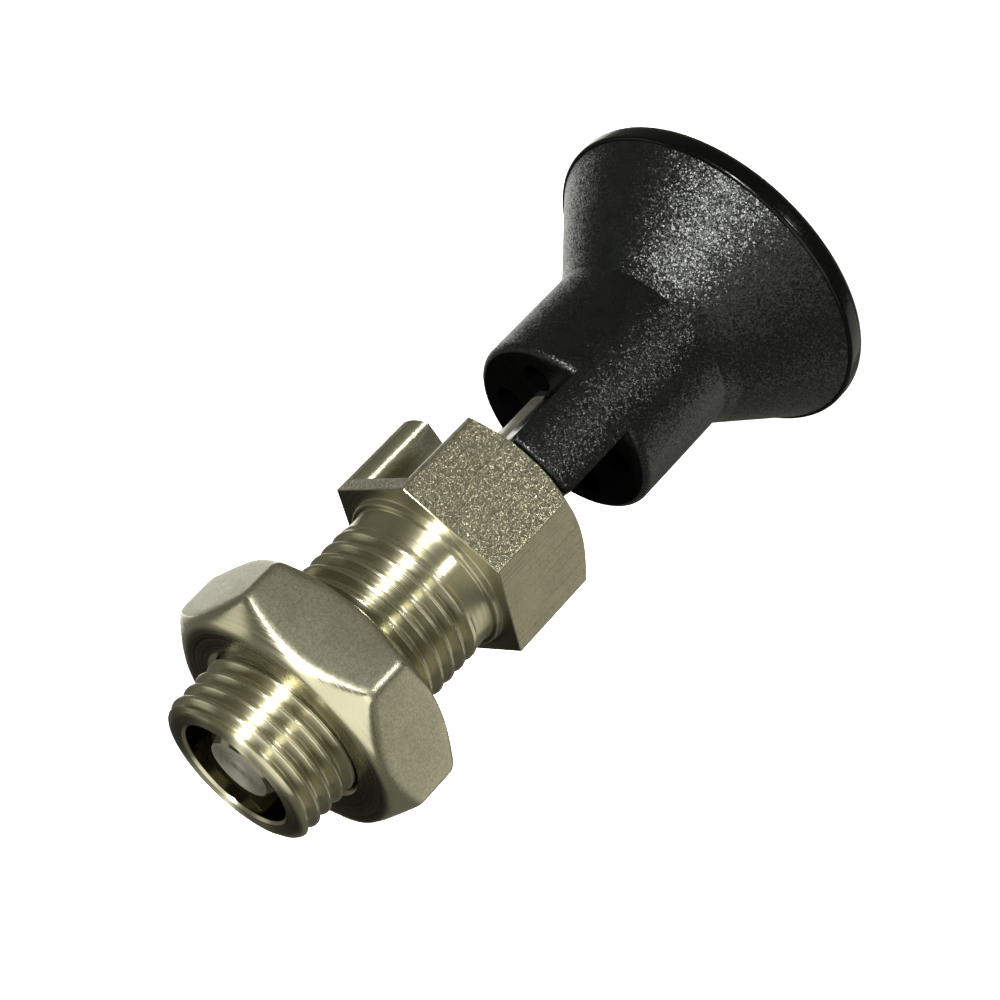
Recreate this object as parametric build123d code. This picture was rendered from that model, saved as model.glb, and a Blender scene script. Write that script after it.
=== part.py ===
"""Indexing plunger with a rest position.

A threaded sleeve with a slotted hexagon head guides a spring-loaded pin. The knob on
the pin has two tongues. In the slot they let the pin out; turned across the head, as
here, they rest on its end face and hold the pin back inside the sleeve.

The plunger stands on its knob: +Z runs from the knob to the nose, the origin is the
middle of the cap, and the slot in the head runs along X. All sizes are in millimetres.
"""

from build123d import *
from math import cos, radians, sin, tan
import os

# --- Knob: one moulding with a flared head, a round neck and two tongues ---
moulding_length = 21.9  # from the rim of the head to the end face of the neck
neck_diameter = 19.5
neck_length = 12.5  # from the end face to where neck and flare would meet
neck_edge_round = 0.75
flare_angle = 36.4  # between the flare and the axis
flare_blend = 4.35  # hollow round between neck and flare
flare_wall = 2.2
tongue_width = 7.0
tongue_length = 8.9
tongue_edge_round = 0.45
tongue_clearance = 0.4  # between a tongue and the pin
pocket_diameter = 3.0  # blind holes that core out the neck
pocket_depth = 8.0
pocket_circle = 12.4
pocket_spread = 57.0  # angle from the line of the tongues to the nearest pocket
knob_turn = -70.9  # from the slot to the tongues, with the knob at rest

# --- Cap that closes the head ---
cap_height = 2.5
cap_plate = 1.7
cap_lip = 0.4  # how far the cap stands out past the rim
cap_foot_round = 1.3
cap_joint_round = 0.35
spigot_setback = 3.5  # from the rim to the outside of the spigot
spigot_wall = 1.7
spigot_length = 2.0

# --- Pin with its guide collar and threaded stud ---
pin_diameter = 8.0
pin_setback = 0.7  # from the nose of the sleeve to the end of the pin
pin_end_chamfer = 0.8
pin_nose_length = 9.3  # from the end of the pin to its guide collar
guide_collar_length = 3.5
stud_diameter = 6.0
stud_chamfer = 0.6
stud_overhang = 0.5  # past the nut
stud_to_rim = 0.5
web_thickness = 2.5  # bottom of the head, clamped between pin and washer

# --- Nut and washer that hold the knob ---
small_nut_across_flats = 10.0
small_nut_height = 5.0
washer_diameter = 12.0
washer_thickness = 1.6
washer_clearance = 0.2

# --- Sleeve with its hexagon head ---
head_across_flats = 19.0
head_height = 10.5
head_rest_gap = 0.1  # between the tongues and the head they rest on
slot_width = 7.3
slot_depth = 9.0
seat_collar_diameter = 16.8
seat_collar_height = 0.7
seat_collar_round = 0.2
relief_diameter = 15.6
relief_length = 2.1
thread_diameter = 16.0
thread_length = 23.3
thread_end_chamfer = 0.2
thread_pitch = 1.5
thread_depth = 0.86
thread_crest = 0.28  # width of the flat between two grooves
thread_angle = 60.0  # between the two flanks of a groove
thread_first_groove = 0.82  # from the nose to the middle of the first groove
thread_overcut = 0.1  # how far a groove is cut past the crest, into the air
nose_round = 1.05
bore_diameter = 11.3
bore_depth = 24.6
bore_chamfer = 0.25

# --- Lock nut on the sleeve ---
lock_nut_across_flats = 24.0
lock_nut_height = 8.0
lock_nut_setback = 6.3  # from the nose of the sleeve to the nut
lock_nut_turn = 8.4
lock_nut_countersink = 0.9
lock_nut_front_slope = 42.0  # steep bevel on the side of the nose
lock_nut_front_flat = 22.9  # round face inside that bevel

# --- Compression spring round the pin ---
wire_diameter = 1.1
spring_turns = 8.5

# --- Fits, on the radius ---
running_clearance = 0.05
snug_clearance = 0.02
corner_bevel = 30.0  # bevel angle on the corners of a hexagon
corner_bevel_inset = 0.97  # bevel circle as a share of the width across flats

# --- Heights, from the cap to the nose ---
rim_z = cap_height
recess_depth = washer_thickness + small_nut_height + stud_overhang + stud_to_rim
web_z = rim_z + recess_depth
shoulder_z = web_z + web_thickness
flare_z = rim_z + moulding_length - neck_length
neck_end_z = rim_z + moulding_length
head_z = neck_end_z + tongue_length + head_rest_gap
seat_z = head_z + head_height
relief_z = seat_z + seat_collar_height
thread_z = relief_z + relief_length
nose_z = thread_z + thread_length
bore_floor_z = nose_z - bore_depth
pin_end_z = nose_z - pin_setback
guide_front_z = pin_end_z - pin_nose_length
guide_back_z = guide_front_z - guide_collar_length
lock_nut_z = nose_z - lock_nut_setback - lock_nut_height

# --- Radii that several pieces share ---
pin_radius = pin_diameter / 2
stud_radius = stud_diameter / 2
bore_radius = bore_diameter / 2
neck_radius = neck_diameter / 2
flare_slope = tan(radians(flare_angle))
rim_radius = neck_radius + (flare_z - rim_z) * flare_slope
spigot_radius = rim_radius - spigot_setback


def turned(*corners):
    """Turns a closed outline about Z. Each corner is (radius, height, corner round)."""
    points = [(r, z) for r, z, _ in corners]
    rounds = [corner_round for _, _, corner_round in corners]
    outline = FilletPolyline(*points, radius=rounds, close=True)
    return revolve(Plane.XZ * make_face(outline), Axis.Z)


def rod(radius, low, high):
    """A plain cylinder on the axis between two heights."""
    return Pos(0, 0, low) * Cylinder(radius, high - low, align=(Align.CENTER, Align.CENTER, Align.MIN))


def hexagon(across_flats, low, high, turn=0.0):
    """A hexagonal prism with the middle of one flat in the direction of turn."""
    outline = RegularPolygon(across_flats / 2, 6, major_radius=False, rotation=turn + 30)
    return extrude(Pos(0, 0, low) * outline, high - low)


def bevel_cone(flat_radius, slope, end_z, toward):
    """The space inside a bevel: a cone about Z, cut square at end_z on its narrow side."""
    reach = 3 * flat_radius
    wide_z = end_z - toward * (reach - flat_radius) * tan(radians(slope))
    return turned((0, end_z, 0), (flat_radius, end_z, 0), (reach, wide_z, 0), (0, wide_z, 0))


def around_z(radius, angle):
    """A point at a radius and an angle in degrees."""
    return radius * cos(radians(angle)), radius * sin(radians(angle))


def make_thread_grooves():
    """Grooves with the profile and pitch of the thread, as rings that do not climb."""
    spread = tan(radians(thread_angle / 2))
    root_half = (thread_pitch - thread_crest) / 2 - thread_depth * spread
    mouth_half = root_half + (thread_depth + thread_overcut) * spread
    root_radius = thread_diameter / 2 - thread_depth
    mouth_radius = thread_diameter / 2 + thread_overcut
    room = thread_length - thread_first_groove - thread_pitch / 2
    grooves = []
    for i in range(int(room / thread_pitch) + 1):
        middle_z = nose_z - thread_first_groove - i * thread_pitch
        grooves.append(
            turned(
                (root_radius, middle_z - root_half, 0),
                (mouth_radius, middle_z - mouth_half, 0),
                (mouth_radius, middle_z + mouth_half, 0),
                (root_radius, middle_z + root_half, 0),
            )
        )
    return grooves


def make_plunger_body():
    """Sleeve and head, turned from one hexagon bar and bored from the nose."""
    sleeve = turned(
        (0, seat_z, 0),
        (seat_collar_diameter / 2, seat_z, 0),
        (seat_collar_diameter / 2, relief_z, seat_collar_round),
        (relief_diameter / 2, relief_z, 0),
        (relief_diameter / 2, thread_z, 0),
        (thread_diameter / 2, thread_z + thread_end_chamfer, 0),
        (thread_diameter / 2, nose_z, nose_round),
        (0, nose_z, 0),
    )
    sleeve -= make_thread_grooves()
    head = hexagon(head_across_flats, head_z, seat_z)
    head_flat = corner_bevel_inset * head_across_flats / 2
    head &= bevel_cone(head_flat, corner_bevel, head_z, -1)
    bore = turned(
        (0, bore_floor_z, 0),
        (bore_radius, bore_floor_z, 0),
        (bore_radius, nose_z - bore_chamfer, 0),
        (bore_radius + 2 * bore_chamfer, nose_z + bore_chamfer, 0),
        (0, nose_z + bore_chamfer, 0),
    )
    guide = rod(pin_radius + running_clearance, head_z, nose_z)
    slot = Box(
        2 * head_across_flats,
        slot_width,
        slot_depth,
        align=(Align.CENTER, Align.CENTER, Align.MIN),
    )
    return sleeve + head - bore - guide - Pos(0, 0, head_z) * slot


def make_lock_nut():
    """Hexagon nut with a steep bevel on its front and a shallow one on its back."""
    low = lock_nut_z
    high = lock_nut_z + lock_nut_height
    nut = hexagon(lock_nut_across_flats, low, high, lock_nut_turn)
    back_flat = corner_bevel_inset * lock_nut_across_flats / 2
    nut &= bevel_cone(back_flat, corner_bevel, low, -1)
    nut &= bevel_cone(lock_nut_front_flat / 2, lock_nut_front_slope, high, 1)
    hole_radius = thread_diameter / 2 + running_clearance
    mouth_radius = hole_radius + lock_nut_countersink
    hole = turned(
        (0, low, 0),
        (mouth_radius, low, 0),
        (hole_radius, low + lock_nut_countersink, 0),
        (hole_radius, high - lock_nut_countersink, 0),
        (mouth_radius, high, 0),
        (0, high, 0),
    )
    return nut - hole


def make_index_pin():
    """Pin, guide collar, stem and threaded stud, turned in one piece."""
    guide_radius = bore_radius - running_clearance
    stud_end_z = web_z - washer_thickness - small_nut_height - stud_overhang
    return turned(
        (0, stud_end_z, 0),
        (stud_radius - stud_chamfer, stud_end_z, 0),
        (stud_radius, stud_end_z + stud_chamfer, 0),
        (stud_radius, shoulder_z, 0),
        (pin_radius, shoulder_z, 0),
        (pin_radius, guide_back_z, 0),
        (guide_radius, guide_back_z, 0),
        (guide_radius, guide_front_z, 0),
        (pin_radius, guide_front_z, 0),
        (pin_radius, pin_end_z - pin_end_chamfer, 0),
        (pin_radius - pin_end_chamfer, pin_end_z, 0),
        (0, pin_end_z, 0),
    )


def make_compression_spring():
    """Round wire coiled between the bottom of the bore and the collar, ends ground flat."""
    coil_radius = (bore_radius + pin_radius) / 2
    end_inset = wire_diameter / 4
    length = guide_back_z - bore_floor_z
    rise = length - 2 * end_inset
    path = Helix(rise / spring_turns, rise, coil_radius, center=(0, 0, bore_floor_z + end_inset))
    section = Plane(path @ 0, z_dir=path % 0) * Circle(wire_diameter / 2)
    wire = sweep(section, path=path, is_frenet=True)
    return wire & rod(bore_radius, bore_floor_z, guide_back_z)


def make_tongue(turn):
    """One tongue: a bar with the round of the neck outside and the round of the pin inside."""
    low = neck_end_z - 2 * neck_edge_round
    high = neck_end_z + tongue_length
    bar = Box(
        neck_diameter,
        tongue_width,
        high - low,
        align=(Align.MIN, Align.CENTER, Align.MIN),
    )
    tongue = Pos(0, 0, low) * bar & rod(neck_radius, low, high)
    tongue -= rod(pin_radius + tongue_clearance, low, high)
    tip_edges = tongue.faces().sort_by(Axis.Z)[-1].edges()
    return Rot(0, 0, turn) * fillet(tip_edges, tongue_edge_round)


def make_knob():
    """Flared head, neck and tongues, with a recess for the nut and blind pockets."""
    counterbore_radius = spigot_radius + snug_clearance
    counterbore_z = rim_z + spigot_length + snug_clearance
    wall_across = flare_wall / cos(radians(flare_angle))
    recess_mouth = neck_radius + (flare_z - counterbore_z) * flare_slope - wall_across
    recess_floor = neck_radius + (flare_z - web_z) * flare_slope - wall_across
    bore = pin_radius + snug_clearance
    stud_hole = stud_radius + running_clearance
    knob = turned(
        (bore, neck_end_z, 0),
        (neck_radius, neck_end_z, neck_edge_round),
        (neck_radius, flare_z, flare_blend),
        (rim_radius, rim_z, 0),
        (counterbore_radius, rim_z, 0),
        (counterbore_radius, counterbore_z, 0),
        (recess_mouth, counterbore_z, 0),
        (recess_floor, web_z, 0),
        (stud_hole, web_z, 0),
        (stud_hole, shoulder_z, 0),
        (bore, shoulder_z, 0),
    )
    for half_turn in (0, 180):
        knob += make_tongue(knob_turn + half_turn)
        for side in (-1, 1):
            angle = knob_turn + half_turn + side * pocket_spread
            x, y = around_z(pocket_circle / 2, angle)
            pocket = rod(pocket_diameter / 2, neck_end_z - pocket_depth, neck_end_z)
            knob -= Pos(x, y, 0) * pocket
    return knob


def make_knob_cap():
    """Shallow cap with a spigot that snaps into the head. The plunger stands on it."""
    spigot_end_z = cap_height + spigot_length
    cap_radius = rim_radius + cap_lip
    return turned(
        (0, 0, 0),
        (cap_radius, 0, cap_foot_round),
        (cap_radius, cap_height, cap_joint_round),
        (spigot_radius, cap_height, 0),
        (spigot_radius, spigot_end_z, 0),
        (spigot_radius - spigot_wall, spigot_end_z, 0),
        (spigot_radius - spigot_wall, cap_plate, 0),
        (0, cap_plate, 0),
    )


def make_knob_washer():
    """Plain washer against the bottom of the recess."""
    low = web_z - washer_thickness
    hole = rod(stud_radius + washer_clearance, low, web_z)
    return rod(washer_diameter / 2, low, web_z) - hole


def make_knob_nut():
    """Small hexagon nut on the stud, bevelled on both sides."""
    high = web_z - washer_thickness
    low = high - small_nut_height
    flat = corner_bevel_inset * small_nut_across_flats / 2
    nut = hexagon(small_nut_across_flats, low, high, knob_turn)
    nut &= bevel_cone(flat, corner_bevel, low, -1)
    nut &= bevel_cone(flat, corner_bevel, high, 1)
    return nut - rod(stud_radius + running_clearance, low, high)


makers = {
    "plunger_body": make_plunger_body,
    "lock_nut": make_lock_nut,
    "index_pin": make_index_pin,
    "compression_spring": make_compression_spring,
    "knob": make_knob,
    "knob_cap": make_knob_cap,
    "knob_washer": make_knob_washer,
    "knob_nut": make_knob_nut,
}

os.makedirs("parts", exist_ok=True)
for name, make in makers.items():
    export_step(make(), f"parts/{name}.step")
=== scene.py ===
# %% [markdown]
# # An indexing plunger, dressed for its portrait
#
# An indexing plunger locks one machine part to another. A threaded sleeve screws into the
# machine, and a spring pushes a pin out of the sleeve's nose into a hole. Pulling the black
# knob draws the pin back. Two tongues on the knob drop into a slot in the sleeve's head. When
# the knob is turned a little, the tongues rest on the head instead and the pin stays back.
#
# The engineering model already holds every piece at its real size. This lesson works out a
# finer surface for each piece with numpy, gives each one the finish it has in a workshop,
# and lights it like a catalogue picture.

import bmesh
import bpy
import numpy as np
from mathutils import Matrix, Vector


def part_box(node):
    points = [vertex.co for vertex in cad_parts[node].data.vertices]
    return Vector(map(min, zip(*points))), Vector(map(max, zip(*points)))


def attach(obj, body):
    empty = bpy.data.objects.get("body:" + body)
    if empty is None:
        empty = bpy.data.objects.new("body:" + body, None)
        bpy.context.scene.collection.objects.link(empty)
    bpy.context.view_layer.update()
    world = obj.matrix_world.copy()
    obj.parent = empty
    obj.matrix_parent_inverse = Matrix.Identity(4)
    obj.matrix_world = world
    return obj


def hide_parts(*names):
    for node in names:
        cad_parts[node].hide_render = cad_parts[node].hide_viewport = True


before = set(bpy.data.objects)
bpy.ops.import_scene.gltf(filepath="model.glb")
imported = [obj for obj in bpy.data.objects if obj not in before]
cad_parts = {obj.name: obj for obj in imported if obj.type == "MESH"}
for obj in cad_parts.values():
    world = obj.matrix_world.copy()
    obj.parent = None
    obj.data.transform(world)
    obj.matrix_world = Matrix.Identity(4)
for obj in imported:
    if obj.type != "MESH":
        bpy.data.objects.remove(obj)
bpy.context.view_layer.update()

# %% [markdown]
# ## Measures
#
# The plunger stands on its knob, so height runs from the cap at 0 to the nose at the top.
# Where two pieces meet, the height is read from the engineering model, so that the finer
# surfaces sit exactly where the solids do. Everything below is in millimetres. A mesh turns
# to metres only when it is made.

# %% Heights read from the solids
def span(node):
    """Lowest and highest height of a solid, in millimetres."""
    low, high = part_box(node)
    return low.z * 1000, high.z * 1000


def half_width(node):
    """Distance from the axis to the nearer side of a solid's box, in millimetres."""
    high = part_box(node)[1]
    return min(high.x, high.y) * 1000


HEAD_END, NOSE = span("plunger_body")
NUT_BACK, NUT_FRONT = span("lock_nut")
STUD_END, PIN_END = span("index_pin")
SPRING_BACK, SPRING_FRONT = span("compression_spring")
RIM, TONGUE_TIP = span("knob")
CAP_FOOT, SPIGOT_END = span("knob_cap")
WASHER_LOW, WEB = span("knob_washer")
SMALL_NUT_LOW, SMALL_NUT_HIGH = span("knob_nut")
print(f"head end at {HEAD_END:.1f}, nose at {NOSE:.1f}, rim of the knob at {RIM:.1f} mm")

# %% [markdown]
# ## Surfaces on a grid
#
# Almost every piece here was made on a lathe, so its surface is an outline carried once round
# the axis. In mesh terms that is a grid: one row for each point of the outline, one column for
# each direction. A hexagon fits the same grid, because it is only a radius that changes with
# the direction. Working on whole arrays keeps this fast, and the grid closes by itself when
# points that meet are merged: at the seam, at the axis, and where an outline ends where it
# began.

# %% Grid to closed mesh
MM = 0.001
MERGE = 1e-4  # mm; points closer than this are one point


def unwelded(name, points):
    """A mesh of four-sided faces between neighbours in a grid of points, rows x columns x 3."""
    rows, columns = points.shape[:2]
    index = np.arange(rows * columns).reshape(rows, columns)
    corners = (index[:-1, :-1], index[:-1, 1:], index[1:, 1:], index[1:, :-1])
    faces = np.stack(corners, axis=-1).reshape(-1, 4)
    mesh = bpy.data.meshes.new(name)
    mesh.from_pydata(points.reshape(-1, 3) * MM, [], faces)
    return mesh


def weld(mesh):
    """Merges points that meet and turns the surface so that it faces outwards."""
    work = bmesh.new()
    work.from_mesh(mesh)
    bmesh.ops.remove_doubles(work, verts=work.verts, dist=MERGE * MM)
    bmesh.ops.dissolve_degenerate(work, edges=work.edges, dist=MERGE * MM)
    if work.calc_volume(signed=True) < 0:
        bmesh.ops.reverse_faces(work, faces=work.faces)
    open_edges = sum(not edge.is_manifold for edge in work.edges)
    work.to_mesh(mesh)
    work.free()
    return open_edges


def grid_piece(name, points):
    """A closed piece from a grid of points in millimetres."""
    mesh = unwelded(name, points)
    open_edges = weld(mesh)
    piece = bpy.data.objects.new(name, mesh)
    bpy.context.scene.collection.objects.link(piece)
    print(f"{name}: {len(mesh.polygons)} faces, {open_edges} open edges")
    return piece


def smooth(piece, crease=28):
    """Smooth shading, except at edges that bend by more than crease degrees."""
    piece.data.shade_smooth()
    piece.data.set_sharp_from_angle(angle=np.radians(crease))


# %% [markdown]
# ## Outlines with rounded corners
#
# No machined edge is perfectly sharp. A tiny round at each corner is what catches the light
# and makes metal look real. An outline is therefore a list of corners with a radius each, and
# one function replaces every corner by an arc that touches both of its sides.

# %% Rounded outline
def rounded(corners, closed=False, steps=5):
    """Points of an outline of (radius, height, round) corners.

    A round of radius q at a corner whose sides meet at angle w starts q / tan(w / 2) before
    the corner. Its centre lies q / sin(w / 2) from the corner, half way between the sides.
    """
    corner = np.array(corners, float)
    places, rounds = corner[:, :2], corner[:, 2]
    count = len(corner)
    points = []
    for i in range(count):
        at_end = not closed and i in (0, count - 1)
        if rounds[i] == 0 or at_end:
            points.append(places[i][None])
            continue
        before = places[i - 1] - places[i]
        after = places[(i + 1) % count] - places[i]
        before /= np.linalg.norm(before)
        after /= np.linalg.norm(after)
        half = np.arccos(np.clip(before @ after, -1, 1)) / 2
        middle = (before + after) / np.linalg.norm(before + after)
        centre = places[i] + middle * rounds[i] / np.sin(half)
        start = places[i] + before * rounds[i] / np.tan(half) - centre
        end = places[i] + after * rounds[i] / np.tan(half) - centre
        first, last = np.arctan2(start[1], start[0]), np.arctan2(end[1], end[0])
        turn = (last - first + np.pi) % (2 * np.pi) - np.pi
        angle = first + turn * np.linspace(0, 1, steps + 1)
        arc = np.stack([np.cos(angle), np.sin(angle)], axis=1)
        points.append(centre + rounds[i] * arc)
    outline = np.concatenate(points)
    return np.concatenate([outline, outline[:1]]) if closed else outline


def carried_round(radius, height, angle):
    """Grid points at a radius and height in a direction; the three arrays are broadcast."""
    radius, height, angle = np.broadcast_arrays(radius, height, angle)
    return np.stack([radius * np.cos(angle), radius * np.sin(angle), height], axis=-1)


def turned_piece(name, corners, columns=192, steps=6):
    """A lathe-turned piece from its outline, which is closed or begins and ends on the axis."""
    outline = rounded(corners, closed=corners[0][0] > 0, steps=steps)
    angle = np.linspace(0, 2 * np.pi, columns + 1)
    return grid_piece(name, carried_round(outline[:, :1], outline[:, 1:], angle[None]))


# %% [markdown]
# ## Hexagons
#
# Seen from the axis, the side of a hexagon is at half its width divided by the cosine of the
# angle from the middle of the flat. Drawn bar and pressed nuts have slightly round corners,
# and near a corner the surface is a small arc instead. The columns of the grid crowd together
# there, so the arc stays smooth while the flats stay light.

# %% Hexagon radius and columns
SIXTH = np.pi / 3


def corner_half_angle(half, corner_round):
    """Half the angle that the round corner of a hexagon takes, seen from the axis."""
    centre = (half - corner_round) / np.cos(SIXTH / 2)
    return np.arctan2(corner_round * np.sin(SIXTH / 2), centre + corner_round * np.cos(SIXTH / 2))


def hexagon_radius(angle, half, corner_round):
    """Distance from the axis to a hexagon, half its width across the flats being half."""
    from_flat = (angle + SIXTH / 2) % SIXTH - SIXTH / 2
    from_corner = SIXTH / 2 - np.abs(from_flat)
    centre = (half - corner_round) / np.cos(SIXTH / 2)
    across = centre * np.sin(from_corner)
    arc = centre * np.cos(from_corner) + np.sqrt(np.clip(corner_round**2 - across**2, 0, None))
    return np.where(from_corner < corner_half_angle(half, corner_round), arc, half / np.cos(from_flat))


def hexagon_columns(half, corner_round, flat_steps=20, corner_steps=6):
    """Directions for a grid round a hexagon, dense in its corners, for one full turn."""
    bend = corner_half_angle(half, corner_round)
    flat = np.linspace(-SIXTH / 2 + bend, SIXTH / 2 - bend, flat_steps + 1)[:-1]
    corner = np.linspace(SIXTH / 2 - bend, SIXTH / 2 + bend, corner_steps + 1)[:-1]
    side = np.concatenate([flat, corner])
    angle = (side[None] + SIXTH * np.arange(6)[:, None]).reshape(-1)
    return np.concatenate([angle, angle[:1] + 2 * np.pi])


# %% [markdown]
# ## The sleeve and its thread
#
# The sleeve and its hexagon head are one piece, turned from hexagon bar. A fine thread of
# 1.5 mm pitch runs from the nose to a short plain neck. A thread could be cut with a boolean
# tool, but a helical cutter is heavy and leaves ragged triangles. Here the rows of the grid
# climb with the helix instead, by one pitch a turn. Every row then runs along a crest, a flank
# or a root for its whole length, and the thread stays crisp with few faces. Rows that would
# pass the end of the thread are pressed flat against it, where merging removes them.

# %% Thread profile
PITCH = 1.5
THREAD_RADIUS = 8.0
CREST_HALF = 0.14  # half the width of the flat on a crest
THREAD_DEPTH = 0.86
FLANK = np.tan(np.radians(60))  # depth gained per step along the axis on a 60 degree thread
EDGE_SOFT = 0.09  # half the width over which crest and root run into the flank
ROOT_START = CREST_HALF + THREAD_DEPTH / FLANK  # from the middle of a crest to the root
SEAM_DEPTH = 0.03  # rolling a thread leaves a fine seam along its crest
SEAM_HALF = 0.045


def soft_step(x, low, high):
    """0 below low, 1 above high, and 3t^2 - 2t^3 between them."""
    t = np.clip((x - low) / (high - low), 0, 1)
    return t * t * (3 - 2 * t)


def thread_groove(from_crest):
    """Depth of the groove at a distance along the axis from the middle of a crest.

    The flank is a straight line. A parabola carries it into the crest and into the root.
    """
    x = np.abs(from_crest)
    rise = FLANK * np.clip(x - CREST_HALF, 0, None)
    crest_bend = FLANK * np.clip(x - CREST_HALF + EDGE_SOFT, 0, None) ** 2 / (4 * EDGE_SOFT)
    root_bend = THREAD_DEPTH - FLANK * np.clip(ROOT_START - x + EDGE_SOFT, 0, None) ** 2 / (4 * EDGE_SOFT)
    groove = np.where(np.abs(x - CREST_HALF) < EDGE_SOFT, crest_bend, rise)
    groove = np.where(np.abs(x - ROOT_START) < EDGE_SOFT, root_bend, np.minimum(groove, THREAD_DEPTH))
    return groove + SEAM_DEPTH * np.clip(1 - x / SEAM_HALF, 0, None)


bends = EDGE_SOFT * np.array([-1, -0.3, 0.3, 1])
half_rows = np.concatenate([[SEAM_HALF], CREST_HALF + bends, ROOT_START + bends])
THREAD_ROWS = np.concatenate([-half_rows[::-1], [0], half_rows])
print(f"thread: {len(THREAD_ROWS)} rows a pitch, root at radius {THREAD_RADIUS - THREAD_DEPTH:.2f} mm")

# %% Sleeve and head as one grid
HEAD_CORNER = 0.12  # round of the hexagon's corners
BEVEL = np.tan(np.radians(30))  # slope of the turned bevel on the corners of a hexagon
BEVEL_SHARE = 0.97  # the round face left inside that bevel, as a share of the half width
HEAD_BEVEL_FLAT = BEVEL_SHARE * half_width("plunger_body")
SEAT = HEAD_END + 10.5
SEAT_ROW = 0.3  # on the seat, hexagonal rows give way to round ones this far inside the flats
COLLAR_RADIUS = 8.4
COLLAR_TOP = SEAT + 0.7
NECK_RADIUS = 7.8
THREAD_START = COLLAR_TOP + 2.1
BORE_RADIUS = 5.65
GUIDE_RADIUS = 4.05
NOSE_ROUND = 1.05
MOUTH_BEVEL = 0.25
RUN_OUT = 1.3  # the last turns of the thread grow shallower over this length
CREST_RISE = 0.25  # the first crest rises from the neck over this length
LEAD_IN = (0.1, 0.6)  # the first groove grows to full depth between these distances from the nose
CREST_HEIGHT = 68.7  # height of a crest in the direction of the slot
EDGE = 0.08  # a barely broken edge


def nose_radius(height):
    """Radius of the rounded nose: a quarter circle that ends the plain cylinder."""
    into_round = np.clip(NOSE_ROUND - (NOSE - height), 0, None)
    return THREAD_RADIUS - NOSE_ROUND + np.sqrt(NOSE_ROUND**2 - into_round**2)


def thread_rows(angle):
    """Radius and height of the threaded length: every row climbs one pitch a turn.

    The nose is rounded like the end of a ball, and the thread is cut into that round.
    """
    low, high = THREAD_START, NOSE
    turns = np.arange(-2, (high - low) / PITCH + 2)
    start = CREST_HEIGHT - PITCH * np.ceil((CREST_HEIGHT - low) / PITCH)
    base = (start + turns[:, None] * PITCH + THREAD_ROWS[None]).reshape(-1, 1)
    height = np.clip(base + PITCH * angle / (2 * np.pi), low, high)
    from_crest = (base - CREST_HEIGHT + PITCH / 2) % PITCH - PITCH / 2
    depth = thread_groove(from_crest) * soft_step(height, low, low + RUN_OUT)
    depth = depth * soft_step(high - height, *LEAD_IN)
    crest = NECK_RADIUS + (THREAD_RADIUS - NECK_RADIUS) * soft_step(height, low, low + CREST_RISE)
    return np.minimum(crest - depth, nose_radius(height)), height


def sleeve_points():
    """The outline goes up the outside, over the nose and down through the bore."""
    half = half_width("plunger_body")
    angle = hexagon_columns(half, HEAD_CORNER)
    hexagon = hexagon_radius(angle, half, HEAD_CORNER)
    level = np.ones_like(angle)
    head = [
        (GUIDE_RADIUS * level, HEAD_END * level),
        (HEAD_BEVEL_FLAT * level, HEAD_END * level),
        (hexagon, HEAD_END + (hexagon - HEAD_BEVEL_FLAT) * BEVEL),
        (hexagon, (SEAT - EDGE) * level),
        (hexagon - EDGE, SEAT * level),
    ]
    neck = rounded([
        (half - SEAT_ROW, SEAT, 0),
        (COLLAR_RADIUS, SEAT, 0.12), (COLLAR_RADIUS, COLLAR_TOP, 0.2),
        (NECK_RADIUS, COLLAR_TOP, 0.15), (NECK_RADIUS, THREAD_START, 0),
    ])
    nose = rounded([
        (THREAD_RADIUS - NOSE_ROUND, NOSE, 0),
        (BORE_RADIUS + MOUTH_BEVEL, NOSE, EDGE), (BORE_RADIUS, NOSE - MOUTH_BEVEL, EDGE),
        (BORE_RADIUS, SPRING_BACK, 0.2), (GUIDE_RADIUS, SPRING_BACK, 0), (GUIDE_RADIUS, HEAD_END, 0),
    ], steps=8)
    radius, height = thread_rows(angle)
    radii = [np.stack([r for r, _ in head]), neck[:, :1] * level, radius, nose[:, :1] * level]
    heights = [np.stack([z for _, z in head]), neck[:, 1:] * level, height, nose[:, 1:] * level]
    return carried_round(np.concatenate(radii), np.concatenate(heights), angle[None])


sleeve = grid_piece("sleeve", sleeve_points())

# %% [markdown]
# ## Cutting with a second shape
#
# A milled slot and a drilled hole are cuts across the lathe work, so they don't fit its grid.
# Here the workshop's way is also the simplest one: make a closed tool shape and subtract it
# with a Boolean modifier. The tool is a prism or a plain round bar, and it is thrown away
# after the cut.

# %% Prism and cut
def prism(name, outline, low, high):
    """A prism from a closed outline of points, between two heights."""
    outline = np.asarray(outline)[:-1]
    count = len(outline)
    ends = [np.column_stack([outline, np.full(count, z)]) for z in (low, high)]
    lower = np.arange(count)
    upper = np.roll(lower, -1)
    sides = np.column_stack([lower, upper, upper + count, lower + count])
    mesh = bpy.data.meshes.new(name)
    mesh.from_pydata(np.concatenate(ends) * MM, [], sides.tolist() + [list(lower[::-1]), list(lower + count)])
    weld(mesh)
    tool = bpy.data.objects.new(name, mesh)
    bpy.context.scene.collection.objects.link(tool)
    return tool


def subtract(piece, tool):
    """Cuts a tool shape out of a piece for good, and removes the tool."""
    cut = piece.modifiers.new("cut", "BOOLEAN")
    cut.operation = "DIFFERENCE"
    cut.solver = "EXACT"
    cut.object = tool
    bpy.context.view_layer.update()
    cut_mesh = bpy.data.meshes.new_from_object(piece.evaluated_get(bpy.context.evaluated_depsgraph_get()))
    piece.modifiers.remove(cut)
    piece.data = cut_mesh
    tool_mesh = tool.data
    bpy.data.objects.remove(tool)
    bpy.data.meshes.remove(tool_mesh)


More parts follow.
